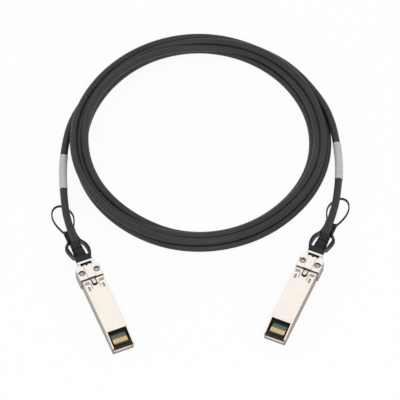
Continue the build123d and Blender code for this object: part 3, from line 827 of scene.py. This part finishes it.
def stretch(line: Sequence[Vector], start: float, end: float, count: int) -> List[Vector]:
    """Evenly spaced points on a part of a line.

    Args:
        line: The whole line.
        start: Where the part starts, as a length along the line.
        end: Where it ends.
        count: How many points to give.

    Returns:
        The points.
    """
    lengths = [0.0]
    for before, after in zip(line, line[1:]):
        lengths.append(lengths[-1] + (after - before).length)
    points = []
    index = 0
    for step in range(count):
        wanted = start + (end - start) * step / (count - 1)
        while lengths[index + 1] < wanted:
            index += 1
        share = (wanted - lengths[index]) / (lengths[index + 1] - lengths[index])
        points.append(line[index].lerp(line[index + 1], share))
    return points


@dataclass
class WrapLabel:
    """A bare wrap label round the cable: one turn of film and the overlap that closes it."""

    side: Side
    film: Finish
    start_y: float
    length: float = 25.5
    radius: float = 2.36
    film_thickness: float = 0.09
    overlap_from: float = -35.0
    overlap_to: float = 120.0
    lift: float = 0.5
    lift_turn: float = 45.0
    lift_share: float = 0.35
    stations: int = 21
    smooth_angle: float = 35.0

    def span(self, line: Sequence[Vector]) -> List[Vector]:
        """The stretch of cable under the label.

        Args:
            line: The cable's line, starting at this label's plug.

        Returns:
            Points along the stretch.
        """
        travelled = 0.0
        for before, after in zip(line, line[1:]):
            share = min(1.0, (self.start_y * MM - before.y) / (after.y - before.y))
            travelled += (after - before).length * share
            if share < 1.0:
                break
        return stretch(line, travelled, travelled + self.length * MM, self.stations)

    def sleeve(self, name: str, points: Sequence[Vector], radius: float) -> bpy.types.Object:
        """A thin tube of film along the cable.

        Args:
            name: The piece's name.
            points: The stretch it follows.
            radius: Its inner radius, in millimetres.

        Returns:
            The tube as a mesh.
        """
        data = bpy.data.curves.new(name, "CURVE")
        data.dimensions = "3D"
        spline = data.splines.new("POLY")
        spline.points.add(len(points) - 1)
        for control, point in zip(spline.points, points):
            control.co = (*point, 1.0)
        data.bevel_depth = radius * MM
        data.bevel_resolution = 10
        piece = bpy.data.objects.new(name, data)
        bpy.context.scene.collection.objects.link(piece)
        pick(piece)
        bpy.ops.object.convert(target="MESH")
        return bpy.context.view_layer.objects.active

    def trim(self, piece: bpy.types.Object, points: Sequence[Vector]) -> None:
        """Keep only the overlap's part of the turn, and lift its free corner.

        Args:
            piece: The full tube.
            points: The stretch it follows.
        """
        along = (points[-1] - points[0]).normalized()
        across = along.cross(Vector((0.0, 0.0, 1.0))).normalized()
        mesh = piece.data

        def outward(place: Vector) -> Vector:
            """The way from the nearest point of the stretch to a place."""
            return place - min(points, key=lambda point: (point - place).length)

        def turn_of(out: Vector) -> float:
            """How far round the cable a way points, in degrees."""
            return math.degrees(math.atan2(out.z, out.dot(across)))

        for polygon in mesh.polygons:
            turn = turn_of(outward(polygon.center))
            polygon.select = not self.overlap_from < turn < self.overlap_to
        bpy.ops.object.mode_set(mode="EDIT")
        bpy.ops.mesh.select_mode(type="FACE")
        bpy.ops.mesh.delete(type="FACE")
        bpy.ops.object.mode_set(mode="OBJECT")
        reach = self.length * self.lift_share * MM
        for vertex in mesh.vertices:
            out = outward(vertex.co)
            free = max(0.0, 1.0 - (turn_of(out) - self.overlap_from) / self.lift_turn)
            low = max(0.0, 1.0 - (vertex.co - points[0]).dot(along) / reach)
            vertex.co += out.normalized() * (self.lift * MM * free * free * low)

    def build(self, line: Sequence[Vector]) -> bpy.types.Object:
        """Make the label.

        Args:
            line: The cable's line, starting at this label's plug.

        Returns:
            The label.
        """
        points = self.span(line)
        wrap = self.sleeve(f"{self.side.value}_label_wrap", points, self.radius)
        over = self.sleeve(f"{self.side.value}_label_overlap", points, self.radius + self.film_thickness)
        self.trim(over, points)
        for piece in (wrap, over):
            pick(piece)
            film = piece.modifiers.new("film", "SOLIDIFY")
            film.thickness = self.film_thickness * MM
            film.offset = 1.0
            bpy.ops.object.modifier_apply(modifier=film.name)
        deselect()
        wrap.select_set(True)
        over.select_set(True)
        bpy.context.view_layer.objects.active = wrap
        bpy.ops.object.join()
        bpy.ops.object.shade_smooth_by_angle(angle=math.radians(self.smooth_angle))
        dress(wrap, self.film.material())
        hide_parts(f"{self.side.value}_label")
        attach(wrap, "cable_and_plugs")
        return wrap


@dataclass
class HoleFloors:
    """The sunk floors of the two long holes in a plug's cover, in dark plating that is painted shade."""

    side: Side
    tip: Tuple[float, float]
    turn: float
    plating: Finish
    apart: float = 9.1
    behind_tip: float = 43.2
    width: float = 1.34
    length: float = 3.34
    thickness: float = 0.5
    top: float = 8.2
    corners: int = 30

    def floor(self, across: float) -> bpy.types.Object:
        """One floor with round ends, in the plug's own place and direction.

        Args:
            across: How far it lies to the side of the plug's middle, in millimetres.

        Returns:
            The floor.
        """
        place = (across * MM, self.behind_tip * MM, (self.top - self.thickness / 2) * MM)
        deselect()
        bpy.ops.mesh.primitive_cylinder_add(
            vertices=self.corners, radius=self.width / 2 * MM, depth=self.thickness * MM, location=place
        )
        piece = bpy.context.view_layer.objects.active
        reach = (self.length - self.width) / 2 * MM
        for vertex in piece.data.vertices:
            vertex.co.y += math.copysign(reach, vertex.co.y)
        bpy.ops.object.transform_apply(location=True, rotation=False, scale=False)
        return piece

    def build(self) -> bpy.types.Object:
        """Make both floors as one piece and set it in the plug.

        Returns:
            The piece.
        """
        floors = [self.floor(way * self.apart / 2) for way in (-1, 1)]
        deselect()
        for part in floors:
            part.select_set(True)
        piece = floors[0]
        bpy.context.view_layer.objects.active = piece
        bpy.ops.object.join()
        piece.name = f"{self.side.value}_hole_floors"
        piece.location = (self.tip[0] * MM, self.tip[1] * MM, 0.0)
        piece.rotation_euler = (0.0, 0.0, math.radians(self.turn))
        bpy.ops.object.transform_apply(location=True, rotation=True, scale=False)
        dress(piece, self.plating.material())
        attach(piece, "cable_and_plugs")
        return piece


@dataclass
class PlugDressing:
    """The finishes of one plug's own pieces."""

    side: Side
    tip: Tuple[float, float]
    turn: float
    finishes: Dict[str, Finish] = field(default_factory=dict)

    def __post_init__(self) -> None:
        """Choose a finish for every piece of the plug."""
        tip = (self.tip[0] * MM, self.tip[1] * MM, 0.0)
        shell = CastMetal("satin_plating", (0.955, 0.885, 0.81), 0.33, recess_height=8.5 * MM)
        tray = MouthMetal("dull_plating_and_mouth_shade", (0.95, 0.875, 0.79), 0.42, tip=tip, turn=self.turn)
        nose = NoseMetal("nose_plating", (0.94, 0.88, 0.825), 0.35, tip=tip, turn=self.turn)
        self.finishes = {
            "lower_shell": tray,
            "upper_shell": shell,
            "nose_cover": nose,
            "cover_screws": ScrewMetal(
                "screw_rim_shade", (0.7, 0.65, 0.58), 0.38,
                lines=(4000.0, 4000.0, 900.0), tip=tip, turn=self.turn,
            ),
            "paddle_card": SolderMask("card_laminate", (0.09, 0.13, 0.11), 0.32, tip=tip, turn=self.turn),
            "contact_pads": Gilding("gold_contacts", (0.86, 0.62, 0.27), 0.24, tip=tip, turn=self.turn),
            "card_chips": MouldedPolymer(
                "chip_packages", (0.03, 0.03, 0.032), 0.5,
                grain=6000.0, grain_depth=0.000004, edge_radius=0.00006,
            ),
            "signal_pairs": DrawnMetal(
                "pair_foil", (0.78, 0.79, 0.8), 0.3, lines=(2500.0, 600.0, 2500.0), line_depth=0.00003
            ),
            "pair_cores": DrawnMetal("copper_cores", (0.8, 0.56, 0.42), 0.3),
            "shield_ferrule": DrawnMetal("brass_ring", (0.72, 0.58, 0.34), 0.3),
            "boot": MouldedPolymer("boot_rubber", (0.015, 0.015, 0.016), 0.6, specular=0.22),
            "latch": DrawnMetal("bright_strip", (0.82, 0.81, 0.79), 0.26),
            "latch_spring": DrawnMetal("spring_strip", (0.62, 0.62, 0.63), 0.22),
            "latch_slider": DrawnMetal("slider_steel", (0.74, 0.73, 0.71), 0.28),
            "pull_tab": MouldedPolymer(
                "tab_plastic", (0.010, 0.010, 0.0105), 0.45,
                grain=2600.0, grain_depth=0.000008, edge_radius=0.00018, specular=0.3,
            ),
        }

    def dress_all(self) -> None:
        """Give every loaded piece of the plug its finish."""
        for piece, finish in self.finishes.items():
            name = f"{self.side.value}_{piece}"
            dress(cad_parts[name], finish.material())
            LOG.info("dressed %s with %s", name, finish.name)


@dataclass
class Studio:
    """A pale floor, soft lamps and the camera at the photograph's angle."""

    target: Point = (-0.32 * MM, 55.04 * MM, 0.0)
    distance: float = 2.5
    elevation: float = 56.0
    pixels_per_mm: float = 1.637
    picture: int = 400
    sensor: float = 36.0
    floor_size: float = 12.0
    sky: float = 0.82

    def build(self) -> None:
        """Make the floor, the camera, the lamps and the sky."""
        self.lay_floor()
        self.place_camera()
        self.hang_lamp("front_softbox", (0.3, -1.1, 1.3), 0.8, 4.0)
        self.hang_lamp("right_softbox", (1.4, 0.6, 1.1), 0.6, 1.5)
        self.hang_lamp("left_softbox", (-1.5, -0.3, 0.9), 0.9, 1.5)
        self.light_sky()

    def lay_floor(self) -> None:
        """Lay the pale ground."""
        deselect()
        bpy.ops.mesh.primitive_plane_add(size=self.floor_size, location=(0.0, 0.0, 0.0))
        floor = bpy.context.view_layer.objects.active
        floor.name = "ground"
        dress(floor, WhiteGround("white_ground", (0.98, 0.98, 0.98), 0.9).material())

    def place_camera(self) -> None:
        """Aim the camera, with a lens that gives the photograph's scale."""
        angle = math.radians(self.elevation)
        eye = Vector(self.target) + self.distance * Vector((0.0, -math.cos(angle), math.sin(angle)))
        data = bpy.data.cameras.new("camera")
        width = self.picture / self.pixels_per_mm * MM
        data.sensor_width = self.sensor
        data.lens = self.sensor * self.distance / width
        data.clip_start = 0.05
        data.clip_end = 50.0
        camera = bpy.data.objects.new("camera", data)
        camera.location = eye
        camera.rotation_euler = (math.pi / 2 - angle, 0.0, 0.0)
        bpy.context.scene.collection.objects.link(camera)
        bpy.context.scene.camera = camera

    def hang_lamp(self, name: str, place: Point, size: float, power: float) -> None:
        """Hang a square softbox that looks at the middle of the object.

        Args:
            name: The lamp's name.
            place: Where it hangs.
            size: Its side.
            power: Its power in watts.
        """
        data = bpy.data.lights.new(name, "AREA")
        data.shape = "SQUARE"
        data.size = size
        data.energy = power
        lamp = bpy.data.objects.new(name, data)
        lamp.location = place
        lamp.rotation_euler = (Vector(place) - Vector(self.target)).to_track_quat("Z", "Y").to_euler()
        bpy.context.scene.collection.objects.link(lamp)

    def light_sky(self) -> None:
        """A plain sky for the light, seen as white."""
        world = bpy.data.worlds.new("studio_sky")
        world.use_nodes = True
        bpy.context.scene.world = world
        tree = world.node_tree
        plain = tree.nodes["Background"]
        plain.inputs["Color"].default_value = (1.0, 1.0, 1.0, 1.0)
        plain.inputs["Strength"].default_value = self.sky
        white = tree.nodes.new("ShaderNodeBackground")
        white.inputs["Color"].default_value = (1.0, 1.0, 1.0, 1.0)
        white.inputs["Strength"].default_value = 1.0
        ray = tree.nodes.new("ShaderNodeLightPath")
        seen = tree.nodes.new("ShaderNodeMath")
        seen.operation = "MAXIMUM"
        clear = tree.nodes.new("ShaderNodeMath")
        clear.operation = "MAXIMUM"
        mixed = tree.nodes.new("ShaderNodeMixShader")
        tree.links.new(ray.outputs["Is Camera Ray"], seen.inputs[0])
        tree.links.new(ray.outputs["Is Glossy Ray"], seen.inputs[1])
        tree.links.new(seen.outputs[0], clear.inputs[0])
        tree.links.new(ray.outputs["Is Transmission Ray"], clear.inputs[1])
        tree.links.new(clear.outputs[0], mixed.inputs[0])
        tree.links.new(plain.outputs[0], mixed.inputs[1])
        tree.links.new(white.outputs[0], mixed.inputs[2])
        tree.links.new(mixed.outputs[0], tree.nodes["World Output"].inputs["Surface"])


def main() -> None:
    """Build the studio and every piece, in order."""
    logging.basicConfig(level=logging.INFO, format="%(name)s: %(message)s")
    bpy.context.scene.view_settings.view_transform = "Standard"
    Studio().build()
    cable_maker = CoiledCable(CableJacket("cable_jacket", (0.029, 0.029, 0.029), 0.42))
    cable = cable_maker.build()
    line = centre_line(cable)
    LOG.info("cable of %d points", len(line))
    film = LabelFilm("label_film", (0.5, 0.5, 0.505), 0.5)
    labels = [
        WrapLabel(Side.LEFT, film, 60.0).build(line),
        WrapLabel(Side.RIGHT, film, 67.2, 27.0).build(line[::-1]),
    ]
    cable_maker.declare()
    # A darkened copy of the plating: painted shade at the bottom of the holes.
    sunk = CastMetal("hole_floor_shaded_plating", (0.42, 0.37, 0.32), 0.5)
    for side in Side:
        tip, turn = cable_maker.stance(side)
        PlugDressing(side, tip, turn).dress_all()
        floors = HoleFloors(side, tip, turn, sunk).build()
        LOG.info("built %s", floors.name)


if __name__ == "__main__":
    main()
